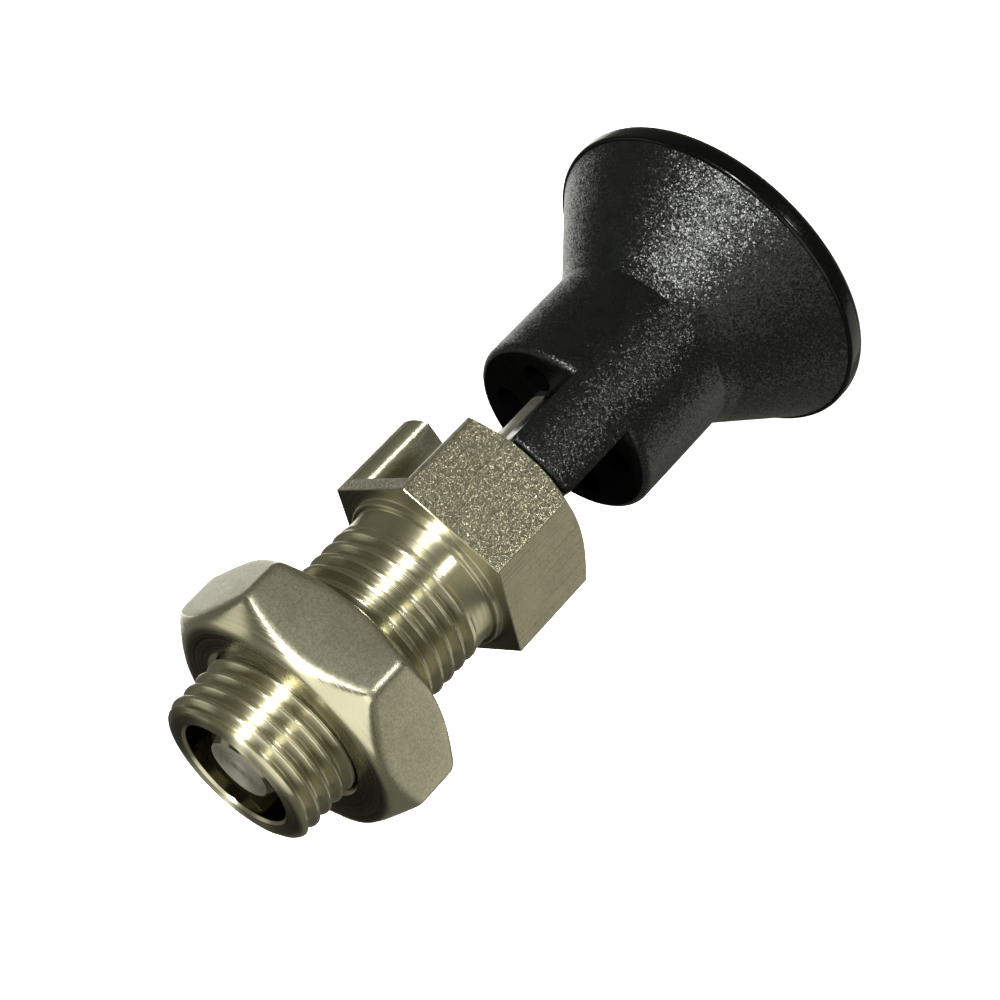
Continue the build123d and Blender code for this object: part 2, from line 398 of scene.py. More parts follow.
# %% Mill the slot through the head
SLOT_HALF = 3.65
SLOT_FLOOR = HEAD_END + 9.0
LIP_ROUND = 1.2  # the mouths of the slot are rounded so that the tongues slip in
OVERRUN = 3.0  # the cutter starts and ends this far outside the work


def slot_outline():
    """Half the width of the cutter along its way: level inside, and wider at both mouths.

    A lip is a quarter circle of radius q. At a distance d into the lip the cutter has grown
    by q - sqrt(q^2 - d^2).
    """
    face = half_width("plunger_body")
    into_lip = LIP_ROUND * np.sin(np.linspace(0, np.pi / 2, 13))
    grown = LIP_ROUND - np.sqrt(LIP_ROUND**2 - into_lip**2)
    along = np.concatenate([face - LIP_ROUND + into_lip, [face + OVERRUN]])
    wide = SLOT_HALF + np.concatenate([grown, [LIP_ROUND]])
    quarter = np.stack([along, wide], axis=1)
    side = np.concatenate([quarter[::-1], quarter * [-1, 1]])
    outline = np.concatenate([side, -side])
    return np.concatenate([outline, outline[:1]])


cutter = prism("slot_cutter", slot_outline(), HEAD_END - OVERRUN, SLOT_FLOOR)
subtract(sleeve, cutter)
smooth(sleeve)
print("slot milled:", len(sleeve.data.polygons), "faces left on the sleeve")

# %% [markdown]
# ## The lock nut
#
# A hexagon nut is pressed or cut from bar and then chamfered by turning. The chamfer is a
# cone, and where a cone meets a flat the edge is a curve that rises towards the middle of the
# flat. Nothing has to be cut for it on the grid: the height of the edge is the height of the
# cone at the radius of the hexagon, and a few rows on both sides round the edge off. The front
# of this nut has a much steeper and deeper chamfer than its back.

# %% Nut surface
WAY_LIMIT = 0.45  # less than half, so that the rounds of two edges can't meet


def soft_edge(before, corner, after, reach, steps=5):
    """Rows that carry an edge round from one side to the other.

    The curve is a parabola: (1-t)^2 A + 2t(1-t) C + t^2 B. Its ends A and B lie on the way from
    the corner C to the rows before and after, at the distance reach or, where a row is near,
    at WAY_LIMIT of the way to it.
    """
    before, corner, after = (np.stack(row) for row in (before, corner, after))
    ends = []
    for other in (before, after):
        way = other - corner
        length = np.maximum(np.linalg.norm(way, axis=0), 1e-9)
        ends.append(corner + way * np.minimum(reach / length, WAY_LIMIT))
    t = np.linspace(0, 1, steps)[:, None, None]
    curve = (1 - t) ** 2 * ends[0] + 2 * t * (1 - t) * corner + t**2 * ends[1]
    return [tuple(row) for row in curve]


def nut_points(half, corner_round, hole, mouth, low, high, front_flat, front_slope, turn,
               aside=(0, 0), edge_soft=0.1):
    """Outline up the outside of a nut and down through its hole.

    The front chamfer is a cone that may stand aside from the axis. A point of the hexagon at
    radius h, in a direction w from the one the cone is moved to by e, lies at a distance of
    sqrt(h^2 + e^2 - 2 h e cos w) from the middle of the cone.
    """
    angle = hexagon_columns(half, corner_round)
    hexagon = hexagon_radius(angle, half, corner_round)
    level = np.ones_like(angle)
    back_flat = BEVEL_SHARE * half
    back_edge = low + (hexagon - back_flat) * BEVEL
    shift, way = aside[0], angle - np.radians(aside[1] - turn)
    from_cone = np.sqrt(hexagon**2 + shift**2 - 2 * hexagon * shift * np.cos(way))
    front_edge = high - (from_cone - front_flat) * front_slope
    front_circle = shift * np.cos(way) + np.sqrt(front_flat**2 - (shift * np.sin(way)) ** 2)
    rows = [
        (mouth * level, low * level),
        (back_flat * level, low * level),
        *soft_edge((back_flat * level, low * level), (hexagon, back_edge), (hexagon, front_edge),
                   edge_soft),
        *soft_edge((hexagon, back_edge), (hexagon, front_edge), (front_circle, high * level),
                   edge_soft),
        *soft_edge((hexagon, front_edge), (front_circle, high * level),
                   (mouth * level, high * level), edge_soft),
        (mouth * level, high * level),
        (hole * level, (high - mouth + hole) * level),
        (hole * level, (low + mouth - hole) * level),
        (mouth * level, low * level),
    ]
    radius = np.stack([r for r, _ in rows])
    height = np.stack([z for _, z in rows])
    return carried_round(radius, height, angle[None] + np.radians(turn))


LOCK_NUT_HALF = 12.0
LOCK_NUT_CORNER = 1.1
LOCK_NUT_TURN = 8.4  # degrees from the head's hexagon
LOCK_NUT_EDGE = 0.8  # pressing and tumbling leave this nut with much softer edges
NUT_GAP = 0.05  # between the crests of the thread and the hole
NUT_MOUTH = 0.5  # the hole widens by this much at both ends
FRONT_FLAT = 11.45
FRONT_SLOPE = np.tan(np.radians(42))
CONE_ASIDE = (0.5, 140)  # a second clamping: 0.5 mm off centre, in the direction of 140 degrees
lock_nut = grid_piece("lock_nut_piece", nut_points(
    LOCK_NUT_HALF, LOCK_NUT_CORNER, THREAD_RADIUS + NUT_GAP, THREAD_RADIUS + NUT_MOUTH,
    NUT_BACK, NUT_FRONT, FRONT_FLAT, FRONT_SLOPE, LOCK_NUT_TURN, CONE_ASIDE, LOCK_NUT_EDGE))
smooth(lock_nut)

# %% [markdown]
# ## The pin, the washer and the small nut
#
# The pin is one long turned part. Its end shows inside the nose. Behind that end it has a
# guide collar that slides in the bore and that the spring pushes on, and at the other end a
# stud holds the knob with a washer and a nut. Those two are hidden under the cap, but they
# are made like the rest, because the part can be taken apart.

# %% Turned pieces inside
PIN_RADIUS = 4.0
STUD_RADIUS = 3.0
STUD_BEVEL = 0.6
SHOULDER = WEB + 2.5  # the knob's web is clamped between this shoulder and the washer
GUIDE_LENGTH = 3.5
PIN_BEVEL = 0.9
SLIDE_GAP = 0.05

pin = turned_piece("pin", [
    (0, STUD_END, 0), (STUD_RADIUS - STUD_BEVEL, STUD_END, 0),
    (STUD_RADIUS, STUD_END + STUD_BEVEL, 0),
    (STUD_RADIUS, SHOULDER, 0), (PIN_RADIUS, SHOULDER, EDGE), (PIN_RADIUS, SPRING_FRONT, 0),
    (BORE_RADIUS - SLIDE_GAP, SPRING_FRONT, EDGE),
    (BORE_RADIUS - SLIDE_GAP, SPRING_FRONT + GUIDE_LENGTH, EDGE),
    (PIN_RADIUS, SPRING_FRONT + GUIDE_LENGTH, 0), (PIN_RADIUS, PIN_END - PIN_BEVEL, 0.1),
    (PIN_RADIUS - PIN_BEVEL, PIN_END, 0.1), (0, PIN_END, 0),
])
smooth(pin)

WASHER_RADIUS = 6.0
WASHER_HOLE = STUD_RADIUS + 0.2
washer = turned_piece("washer", [
    (WASHER_HOLE, WASHER_LOW, 0), (WASHER_RADIUS, WASHER_LOW, 0.15),
    (WASHER_RADIUS, WEB, EDGE), (WASHER_HOLE, WEB, 0),
], columns=96)
smooth(washer)

SMALL_NUT_HALF = 5.0
SMALL_NUT_CORNER = 0.2
SMALL_NUT_MOUTH = 0.4
small_nut = grid_piece("small_nut", nut_points(
    SMALL_NUT_HALF, SMALL_NUT_CORNER, STUD_RADIUS + SLIDE_GAP, STUD_RADIUS + SMALL_NUT_MOUTH,
    SMALL_NUT_LOW, SMALL_NUT_HIGH, BEVEL_SHARE * SMALL_NUT_HALF, BEVEL, 0))
smooth(small_nut)

# %% [markdown]
# ## The spring
#
# A compression spring is a wire that climbs a helix. The surface is a circle carried along
# that helix. The ends of a real spring are ground flat so that it stands square, and
# limiting the height of the points at both ends does the same.

# %% Coil surface
WIRE_RADIUS = 0.55
COILS = 8.5


def coil_points(steps_round=14, steps_a_coil=48):
    """A circle carried along a helix; it shrinks to a point at both ends of the wire."""
    low, high = SPRING_BACK + WIRE_RADIUS / 2, SPRING_FRONT - WIRE_RADIUS / 2
    share = np.linspace(0, 1, int(COILS * steps_a_coil) + 1)
    share = np.concatenate([[0], share, [1]])[:, None]
    size = np.full_like(share, WIRE_RADIUS)
    size[[0, -1]] = 0
    round_wire = np.linspace(0, 2 * np.pi, steps_round + 1)[None]
    radius = (BORE_RADIUS + PIN_RADIUS) / 2 + size * np.cos(round_wire)
    height = low + (high - low) * share + size * np.sin(round_wire)
    height = np.clip(height, SPRING_BACK, SPRING_FRONT)
    return carried_round(radius, height, 2 * np.pi * COILS * share)


spring = grid_piece("spring_coil", coil_points())
smooth(spring)

# %% [markdown]
# ## The knob
#
# The knob is one injection moulding: a flared head to pull on, a round neck, and two tongues
# that go on from the neck without a step. The lathe grid would be perfect if the tongues
# weren't there. So the grid is bent to suit them. Its columns lean so that one of them
# follows each side of a tongue, at a constant distance from the middle, on its way from the
# rim of the neck to the bore. There two columns lie at the same place. One stays down on the
# end of the neck, the other climbs over the tongue, and the faces between the two are the flat
# side of the tongue.

# %% Columns that follow the tongues
NECK_RADIUS_KNOB = 9.75
NECK_END = RIM + 21.9
FLARE_START = NECK_END - 12.5
FLARE_ANGLE = np.radians(36.4)
# Next to the neck the flare opens less. That stretch begins at a corner NECK_CORNER above the
# place where neck and flare would meet, and ends FLARE_HOLLOW below it in a round of HOLLOW_ROUND.
NECK_CORNER = 0.55
FLARE_HOLLOW = 0.9
HOLLOW_ROUND = 3.0
WALL = 2.2  # thickness of the flare
PRESS_FIT = 0.02  # how much room the knob leaves round the pin and round the cap's spigot
SPIGOT_RADIUS = half_width("knob") - 3.5
TONGUE_HALF = 3.5
TONGUE_INNER = PIN_RADIUS + 0.4
TONGUE_ROUND = 0.45
NECK_EDGE_ROUND = 0.75
KNOB_TURN = -70.9  # degrees from the slot to a tongue: the knob is parked


def knob_columns(tongue_steps=20, round_steps=5, plain_steps=70):
    """Column numbers q for half a turn, and whether each column belongs to the tongue.

    From -1 to 1 the columns cross the tongue, from 1 to 3 they cross the plain part.
    """
    flat = np.linspace(-1, 1, tongue_steps + 1) * (TONGUE_HALF - TONGUE_ROUND)
    bend = np.sin(np.linspace(0, np.pi / 2, round_steps + 1))[1:] * TONGUE_ROUND
    bend = TONGUE_HALF - TONGUE_ROUND + bend
    across = np.concatenate([-bend[::-1], flat, bend])
    tongue = np.arcsin(across / NECK_RADIUS_KNOB) / np.arcsin(TONGUE_HALF / NECK_RADIUS_KNOB)
    plain = np.linspace(1, 3, plain_steps + 1)
    number = np.concatenate([tongue, plain])
    return number, np.arange(len(number)) < len(tongue)


def column_angle(number, radius):
    """Direction of a column at a radius, so that column 1 keeps its distance from the middle."""
    edge = np.arcsin(TONGUE_HALF / np.clip(radius, TONGUE_INNER, NECK_RADIUS_KNOB))
    plain = edge + (number - 1) / 2 * (np.pi - 2 * edge)
    return np.where(number <= 1, edge * number, plain)


# %% Knob surface
def tongue_rows():
    """Radius rows over a tongue, from outside to inside, and the same rows on the neck's end.

    Returns radius on the tongue, radius and height on the plain part.
    """
    bend = np.sin(np.linspace(np.pi / 2, 0, 7))
    outer = NECK_RADIUS_KNOB - TONGUE_ROUND * (1 - bend)
    inner = TONGUE_INNER + TONGUE_ROUND * (1 - bend[::-1])
    between = np.linspace(outer[-1], inner[0], 6)[1:-1]
    tongue = np.concatenate([outer, between, inner])
    fall = np.linspace(0, np.pi / 2, len(outer) + 1)[1:]
    face = NECK_RADIUS_KNOB - NECK_EDGE_ROUND
    end = np.linspace(face, TONGUE_INNER, len(between) + 2)[1:-1]
    plain = np.concatenate([face + NECK_EDGE_ROUND * np.cos(fall), end, np.full(len(inner), TONGUE_INNER)])
    height = np.concatenate([
        NECK_END - NECK_EDGE_ROUND * (1 - np.sin(fall)), np.full(len(end) + len(inner), NECK_END)])
    return tongue, plain, height


def tongue_height(radius, angle):
    """Height of a tongue: level, and rounded like a ball towards its sides and both its ends."""
    side = (np.abs(radius * np.sin(angle)) - TONGUE_HALF + TONGUE_ROUND) / TONGUE_ROUND
    outside = (radius - NECK_RADIUS_KNOB + TONGUE_ROUND) / TONGUE_ROUND
    inside = (TONGUE_INNER + TONGUE_ROUND - radius) / TONGUE_ROUND
    end = np.clip(np.maximum(outside, inside), 0, 1)
    drop = 1 - np.sqrt(np.clip(1 - np.clip(side, 0, 1) ** 2 - end**2, 0, 1))
    return TONGUE_TIP - TONGUE_ROUND * drop


def knob_points():
    """The outline goes from the rim up the neck, over the tongues and back through the recess."""
    number, on_tongue = knob_columns()
    rim_radius = half_width("knob")
    hollow_radius = NECK_RADIUS_KNOB + FLARE_HOLLOW * np.tan(FLARE_ANGLE)
    outside = rounded([
        (rim_radius, RIM, 0), (hollow_radius, FLARE_START - FLARE_HOLLOW, HOLLOW_ROUND),
        (NECK_RADIUS_KNOB, FLARE_START + NECK_CORNER, 0.12),
        (NECK_RADIUS_KNOB, NECK_END - NECK_EDGE_ROUND, 0),
    ], steps=12)
    wall = WALL / np.cos(FLARE_ANGLE)
    step = SPIGOT_END
    mouth = NECK_RADIUS_KNOB + (FLARE_START - step) * np.tan(FLARE_ANGLE) - wall
    floor = NECK_RADIUS_KNOB + (FLARE_START - WEB) * np.tan(FLARE_ANGLE) - wall
    bore = PIN_RADIUS + PRESS_FIT
    inside = rounded([
        (TONGUE_INNER, NECK_END, 0), (bore, NECK_END, 0), (bore, SHOULDER, 0),
        (STUD_RADIUS + SLIDE_GAP, SHOULDER, 0), (STUD_RADIUS + SLIDE_GAP, WEB, 0),
        (floor, WEB, 0), (mouth, step, 0), (SPIGOT_RADIUS, step, 0), (SPIGOT_RADIUS, RIM, 0),
        (rim_radius, RIM, 0),
    ])
    tongue, plain, height = tongue_rows()
    level = np.ones(len(number))
    radius = np.where(on_tongue, tongue[:, None], plain[:, None])
    angle = column_angle(number[None], radius)
    height = np.where(on_tongue, tongue_height(radius, angle), height[:, None])
    radius = np.concatenate([outside[:, :1] * level, radius, inside[:, :1] * level])
    height = np.concatenate([outside[:, 1:] * level, height, inside[:, 1:] * level])
    angle = column_angle(number[None], radius)
    half_turn = carried_round(radius, height, angle + np.radians(KNOB_TURN))
    other_half = half_turn * np.array([-1, -1, 1])
    return np.concatenate([half_turn, other_half, half_turn[:, :1]], axis=1)


knob = grid_piece("knob_moulding", knob_points())

# %% [markdown]
# ## The pockets
#
# Four blind holes in the end of the neck thin its walls, so that the moulding cools evenly.
# Round core pins in the tool leave them. They cross the grid like the slot did, so they are cut
# with a plain round bar.

# %% Blind pockets in the end of the neck
POCKET_RADIUS = 1.5
POCKET_DEPTH = 8.0
POCKET_CIRCLE = 6.2
POCKET_SPREAD = 57.0  # degrees from the middle of a tongue

for degrees in (POCKET_SPREAD, -POCKET_SPREAD, 180 - POCKET_SPREAD, 180 + POCKET_SPREAD):
    way = np.radians(KNOB_TURN + degrees)
    turn = np.linspace(0, 2 * np.pi, 41)
    round_bar = POCKET_RADIUS * np.stack([np.cos(turn), np.sin(turn)], axis=1)
    middle = POCKET_CIRCLE * np.array([np.cos(way), np.sin(way)])
    subtract(knob, prism("core_pin", round_bar + middle, NECK_END - POCKET_DEPTH, NECK_END + OVERRUN))
smooth(knob)
print("knob with pockets:", len(knob.data.polygons), "faces")

# %% [markdown]
# ## The cap
#
# The cap is a second moulding that snaps into the head and hides the nut. It is moulded in a
# polished tool, so it is glossy where the knob is grained. It stands a little proud of the
# knob's rim, and that edge is the thin bright line round the head.

# %% Cap
CAP_RADIUS = half_width("knob_cap")
CAP_WALL = 1.7
SPIGOT_OUTER = SPIGOT_RADIUS - PRESS_FIT
SPIGOT_INNER = SPIGOT_RADIUS - CAP_WALL
cap = turned_piece("cap", [
    (0, CAP_FOOT, 0), (CAP_RADIUS, CAP_FOOT, 1.3), (CAP_RADIUS, RIM, 0.35),
    (SPIGOT_OUTER, RIM, 0), (SPIGOT_OUTER, SPIGOT_END, 0.2),
    (SPIGOT_INNER, SPIGOT_END, 0.2), (SPIGOT_INNER, CAP_WALL, 0.3), (0, CAP_WALL, 0),
], columns=240, steps=8)
smooth(cap)

# %% [markdown]
# ## Which body carries which piece
#
# The real part moves as four bodies: the sleeve, the lock nut, the spring, and the pin with
# everything that is fixed to it. Each new piece rides on one of them and takes the place of one
# solid, which then isn't shown.

# %% Tie each piece to its body
TIES = [
    (sleeve, "plunger", "plunger_body", "sleeve_steel"),
    (lock_nut, "lock_nut", "lock_nut", "lock_nut_steel"),
    (pin, "pin_and_knob", "index_pin", "pin_steel"),
    (spring, "spring", "compression_spring", "spring_steel"),
    (knob, "pin_and_knob", "knob", "knob_plastic"),
    (cap, "pin_and_knob", "knob_cap", "cap_plastic"),
    (washer, "pin_and_knob", "knob_washer", "fastener_steel"),
    (small_nut, "pin_and_knob", "knob_nut", "fastener_steel"),
]
for piece, body, node, slot_name in TIES:
    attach(piece, body)
    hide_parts(node)

# %% [markdown]
# ## How the finishes are made
#
# A shader is a small circuit of nodes. One function adds a node, sets its plain values and
# makes its links, so a whole material reads as a list of steps. Every pattern is worked out
# from the object's own coordinates. They are in metres, so a mark of w millimetres needs a
# texture scale of 1000 / w.

# %% Node and colour helpers
def add(tree, kind, inputs=None, **settings):
    """Adds a node. Inputs go by socket name or number: a socket is linked, a value is set."""
    new = tree.nodes.new(kind)
    for name, value in settings.items():
        setattr(new, name, value)
    for name, value in (inputs or {}).items():
        if isinstance(value, bpy.types.NodeSocket):
            tree.links.new(value, new.inputs[name])
        else:
            new.inputs[name].default_value = value
    return new


def linear(code):
    """Linear RGBA for a hexadecimal sRGB colour.

    Above 0.04045 the curve is ((c + 0.055) / 1.055)^2.4, below it is the straight line c / 12.92.
    """
    c = np.array([int(code[i:i + 2], 16) for i in (0, 2, 4)]) / 255
    return (*np.where(c > 0.04045, ((c + 0.055) / 1.055) ** 2.4, c / 12.92), 1.0)


def times(colour, factor):
    """The same colour, lighter or darker."""
    return tuple(factor * c for c in colour[:3]) + (1.0,)


def blank(name):
    """A material with only its shader, and the coordinates of the object it is on."""
    material = bpy.data.materials.new(name)
    material.use_nodes = True
    tree = material.node_tree
    tree.nodes.clear()
    shader = add(tree, "ShaderNodeBsdfPrincipled")
    add(tree, "ShaderNodeOutputMaterial", {"Surface": shader.outputs[0]})
    place = add(tree, "ShaderNodeTexCoord").outputs["Object"]
    return material, tree, shader, place


def wandering(tree, place, size, low, high, detail=3.0, start=0.3, stop=0.7):
    """A value that wanders from low to high, in lumps size millimetres across.

    Noise mostly lies between 0.3 and 0.7. It gives low below start and high above stop.
    """
    field = add(tree, "ShaderNodeTexNoise", {"Vector": place, "Scale": 1000 / size, "Detail": detail})
    limits = {"From Min": start, "From Max": stop, "To Min": low, "To Max": high}
    return add(tree, "ShaderNodeMapRange", {"Value": field.outputs["Fac"], **limits}).outputs["Result"]


# %% [markdown]
# ## Turned stainless steel
#
# A lathe tool leaves fine rings. On a cylinder they run round it, on an end face they are
# circles. Both are the same pattern if it depends only on the distance from the axis and on the
# height. The rings are far too fine to be seen one by one, but together they scatter light
# along the axis and draw each lamp out into a bright line down the thread. The eye reads that
# line as turned metal. Anisotropic reflection does the same without drawing the rings: it
# stretches a highlight along the tangent. A radial tangent runs round the axis, so it is turned
# by a quarter to make the line run along the axis.
#
# The same function serves every surface that came off the lathe, and the wire and the small
# fasteners too. The crests of the thread were burnished by the rolling dies and are smoother.
# The bore was reamed, and hardly any light finds its way into it. Its steel is painted dark,
# as painted shade for the deep bore. The pin was ground, which leaves a satin grey face.

# %% Turned steel
STEEL = "b9b49b"
RING_SIZE = 0.12  # mm; the real feed marks are about half of this, too fine to show
DRIFT = 0.02  # this share of x lets the rings change a little on their way round


def ring_place(tree, place):
    """Coordinates that hardly change round the axis: distance from it, height, and a little of x."""
    parts = add(tree, "ShaderNodeSeparateXYZ", {0: place})
    flat = add(tree, "ShaderNodeCombineXYZ", {0: parts.outputs[0], 1: parts.outputs[1]}).outputs[0]
    distance = add(tree, "ShaderNodeVectorMath", {0: flat}, operation="LENGTH").outputs["Value"]
    drift = add(tree, "ShaderNodeMath", {0: parts.outputs[0], 1: DRIFT}, operation="MULTIPLY").outputs[0]
    return add(tree, "ShaderNodeCombineXYZ", {0: distance, 1: parts.outputs[2], 2: drift}).outputs[0]


def turned_steel(name, roughness, anisotropy, colour=STEEL, ring_depth=0.0008):
    """Steel with fine rings ring_depth millimetres deep, faint cloudy stains and uneven polish."""
    material, tree, shader, place = blank(name)
    rings = ring_place(tree, place)
    stain = wandering(tree, place, 2.5, 0.0, 0.25, detail=4.0, start=0.35, stop=0.75)
    tone = {"Factor": stain, 6: linear(colour), 7: times(linear(colour), 0.72)}
    tone = add(tree, "ShaderNodeMix", tone, data_type="RGBA").outputs[2]
    polish = wandering(tree, rings, RING_SIZE, roughness - 0.05, roughness + 0.07)
    height = wandering(tree, rings, RING_SIZE, 0.0, 1.0)
    relief = add(tree, "ShaderNodeBump", {"Height": height, "Distance": ring_depth * MM})
    tangent = add(tree, "ShaderNodeTangent", direction_type="RADIAL", axis="Z")
    shader.inputs["Metallic"].default_value = 1.0
    shader.inputs["Anisotropic"].default_value = anisotropy
    shader.inputs["Anisotropic Rotation"].default_value = 0.25
    tree.links.new(tone, shader.inputs["Base Color"])
    tree.links.new(polish, shader.inputs["Roughness"])
    tree.links.new(relief.outputs["Normal"], shader.inputs["Normal"])
    tree.links.new(tangent.outputs[0], shader.inputs["Tangent"])
    return material


turned = turned_steel("turned_stainless_steel", 0.31, 0.94)
burnished = turned_steel("burnished_thread_crests", 0.26, 0.85, ring_depth=0.0004)
faced = turned_steel("faced_stainless_steel", 0.24, 0.6)
# Colour 6e6a58 is painted shade for the inside of the bore; the low roughness is the reamed finish.
reamed_painted_shade = turned_steel("reamed_stainless_bore_painted_shade", 0.1, 0.3, "6e6a58", ring_depth=0.0004)
ground = turned_steel("ground_stainless_pin", 0.42, 0.3, "ccc9bc", ring_depth=0.0004)
# The pin's bevel lies inside the bore. Its dark colour 6e6a58 is painted shade, the same as the bore's.
lapped_painted_shade = turned_steel("lapped_pin_bevel_painted_shade", 0.12, 0.3, "6e6a58", ring_depth=0.0004)
drawn_wire = turned_steel("drawn_spring_wire", 0.28, 0.0, "a8a394")
fastener = turned_steel("plain_stainless_fastener", 0.25, 0.5, "bdbab0")
print("turned, ground and drawn steels ready")

# %% [markdown]
# ## Drawn bar and pressed flats
#
# The flats of the head are the skin of the drawn bar. Drawing leaves long faint lines along it,
# and tumbling the finished parts leaves a fine grain that sparkles. Each grain is a small facet
# with its own tilt, so it is one cell of a Voronoi pattern that turns the normal by a random
# amount. A facet lights up only when it happens to mirror a lamp. The same skin with hardly any
# tilt makes the softer flats of the pressed nut, and less of it the milled walls of the slot.
# A grain is drawn one or two pixels of the picture wide, since a finer one would average out.

# %% Facets and drawn steel
LINE_SIZE = 0.25  # mm between the lines; the real ones are finer and wouldn't show
LINE_SQUEEZE = 0.03  # heights shrink to this share, which draws the pattern out into lines
LINE_DEPTH = 0.006  # mm
CLOUD_SIZE = 3.0  # mm


def faceted(tree, place, size, tilt, normal):
    """The normal, turned by random facets. One facet is a cell of size millimetres."""
    cells = add(tree, "ShaderNodeTexVoronoi", {"Vector": place, "Scale": 1000 / size}).outputs["Color"]
    middle = {0: cells, 1: (0.5, 0.5, 0.5)}
    lean = add(tree, "ShaderNodeVectorMath", middle, operation="SUBTRACT").outputs[0]
    scaled = add(tree, "ShaderNodeVectorMath", {0: lean, "Scale": tilt}, operation="SCALE").outputs[0]
    summed = add(tree, "ShaderNodeVectorMath", {0: normal, 1: scaled}, operation="ADD").outputs[0]
    return add(tree, "ShaderNodeVectorMath", {0: summed}, operation="NORMALIZE").outputs[0]


def drawn_steel(name, grain, tilt, roughness, colour=STEEL, lining=0.7):
    """Bar skin: long lines along the axis, facets of grain millimetres, and darker patches.

    Lining is how dark the lines are, from 0 to 1.
    """
    material, tree, shader, place = blank(name)
    stretch = {0: place, "Scale": (1.0, 1.0, LINE_SQUEEZE)}
    stretched = add(tree, "ShaderNodeMapping", stretch).outputs[0]
    line = wandering(tree, stretched, LINE_SIZE, 0.0, lining, start=0.57, stop=0.68)
    cloud = wandering(tree, place, CLOUD_SIZE, 0.0, 0.3, detail=4.0, start=0.4)
    speck = wandering(tree, place, grain, 0.5, 0.0, detail=1.0, start=0.35, stop=0.6)
    tone, dark = linear(colour), times(linear(colour), 0.55)
    for share in (line, cloud, speck):
        tone = add(tree, "ShaderNodeMix", {"Factor": share, 6: tone, 7: dark}, data_type="RGBA").outputs[2]
    relief = add(tree, "ShaderNodeBump", {"Height": line, "Distance": LINE_DEPTH * MM}).outputs["Normal"]
    shader.inputs["Metallic"].default_value = 1.0
    shader.inputs["Roughness"].default_value = roughness
    tree.links.new(tone, shader.inputs["Base Color"])
    tree.links.new(faceted(tree, place, grain, tilt, relief), shader.inputs["Normal"])
    return material


drawn = drawn_steel("tumbled_drawn_bar", 0.09, 0.34, 0.36, "969079")
milled = drawn_steel("milled_slot_walls", 0.1, 0.1, 0.32, lining=0.3)
pressed = drawn_steel("pressed_nut_flats", 0.2, 0.06, 0.38, "aea993", lining=0.1)
print("drawn, milled and pressed steels ready")

# %% [markdown]
# ## Glass-filled polyamide
#
# The knob is black polyamide with short glass fibres, moulded in a tool whose surface was
# eroded by sparks. That gives an even, fine grain. It is built like the skin of the bar: each
# grain is a facet that flashes where it mirrors a lamp, which is why the flare glitters and the
# rest stays black. Flat ends, pockets and the cap came from polished parts of the tool and are
# nearly smooth.

# %% Moulded plastics
GRAIN_DEPTH = 0.0025  # mm


def moulded_plastic(name, colour, roughness, grain, tilt, shine):
    """Black plastic with facets of grain millimetres, and shine as its specular level."""
    material, tree, shader, place = blank(name)
    cloud = wandering(tree, place, 1.5, 0.0, 1.0, start=0.4)
    tone = {"Factor": cloud, 6: linear(colour), 7: times(linear(colour), 1.8)}
    tone = add(tree, "ShaderNodeMix", tone, data_type="RGBA").outputs[2]
    polish = wandering(tree, place, grain, roughness - 0.06, roughness + 0.1, detail=2.0)
    height = wandering(tree, place, grain, 0.0, 1.0, detail=2.0)
    relief = add(tree, "ShaderNodeBump", {"Height": height, "Distance": GRAIN_DEPTH * MM}).outputs["Normal"]
    shader.inputs["IOR"].default_value = 1.53
    shader.inputs["Specular IOR Level"].default_value = shine
    tree.links.new(tone, shader.inputs["Base Color"])
    tree.links.new(polish, shader.inputs["Roughness"])
    tree.links.new(faceted(tree, place, grain, tilt, relief), shader.inputs["Normal"])
    return material


grained = moulded_plastic("spark_eroded_black_polyamide", "040504", 0.29, 0.12, 0.45, shine=0.25)
glossy = moulded_plastic("polished_black_polyamide", "020202", 0.16, 0.3, 0.02, shine=0.15)
print("plastics ready")

# %% [markdown]
# ## Which face gets which finish
#
# The finish follows from how each face was made, and that can be read from where the face
# lies and which way it looks. Face centres and normals come out of the mesh as arrays, each
# finish is one condition on them, and the answer goes back as one array of material numbers.

# %% Finish by face
def face_facts(piece):
    """Centres in millimetres, normals, and distance of the centres from the axis."""
    count = len(piece.data.polygons)
    centre, normal = np.empty(count * 3), np.empty(count * 3)
    piece.data.polygons.foreach_get("center", centre)
    piece.data.polygons.foreach_get("normal", normal)
    centre, normal = centre.reshape(-1, 3) / MM, normal.reshape(-1, 3)
    return centre, normal, np.hypot(centre[:, 0], centre[:, 1])


def finish(piece, materials, number=None):
    """Gives the piece its materials, and each face its number in that list."""
    piece.data.materials.clear()
    for material in materials:
        piece.data.materials.append(material)
    if number is None:
        number = np.zeros(len(piece.data.polygons), int)
    piece.data.polygons.foreach_set("material_index", number.astype(np.int32))
    print(piece.name, "faces with each finish:", np.bincount(number))


# %% Sleeve: bar skin on the flats, milled slot, reamed bore, burnished crests, turned elsewhere
NEAR = 0.01  # mm; a face this near to a surface belongs to it
CREST_BAND = 0.12  # mm; a face this near the thread's outside is part of a crest
CREST_STOP = 0.6  # mm; the last bit before the nose keeps the turned finish
FLATS = half_width("plunger_body") - 0.1
centre, normal, radius = face_facts(sleeve)
height = centre[:, 2]
in_slot = (np.abs(centre[:, 1]) < SLOT_HALF + LIP_ROUND) & (height < SLOT_FLOOR + NEAR)
slot_face = in_slot & ((np.abs(normal[:, 1]) > 0.05) | (height > SLOT_FLOOR - NEAR))
bar_skin = (np.abs(normal[:, 2]) < 0.1) & (radius > FLATS) & (height < SEAT)
bore_wall = radius < BORE_RADIUS + NEAR
in_thread = (height > THREAD_START) & (height < NOSE - CREST_STOP)
crest = (np.abs(radius - THREAD_RADIUS) < CREST_BAND) & in_thread
finish(sleeve, [turned, milled, drawn, reamed_painted_shade, burnished],
       np.select([slot_face, bar_skin, bore_wall, crest], [1, 2, 3, 4], 0))

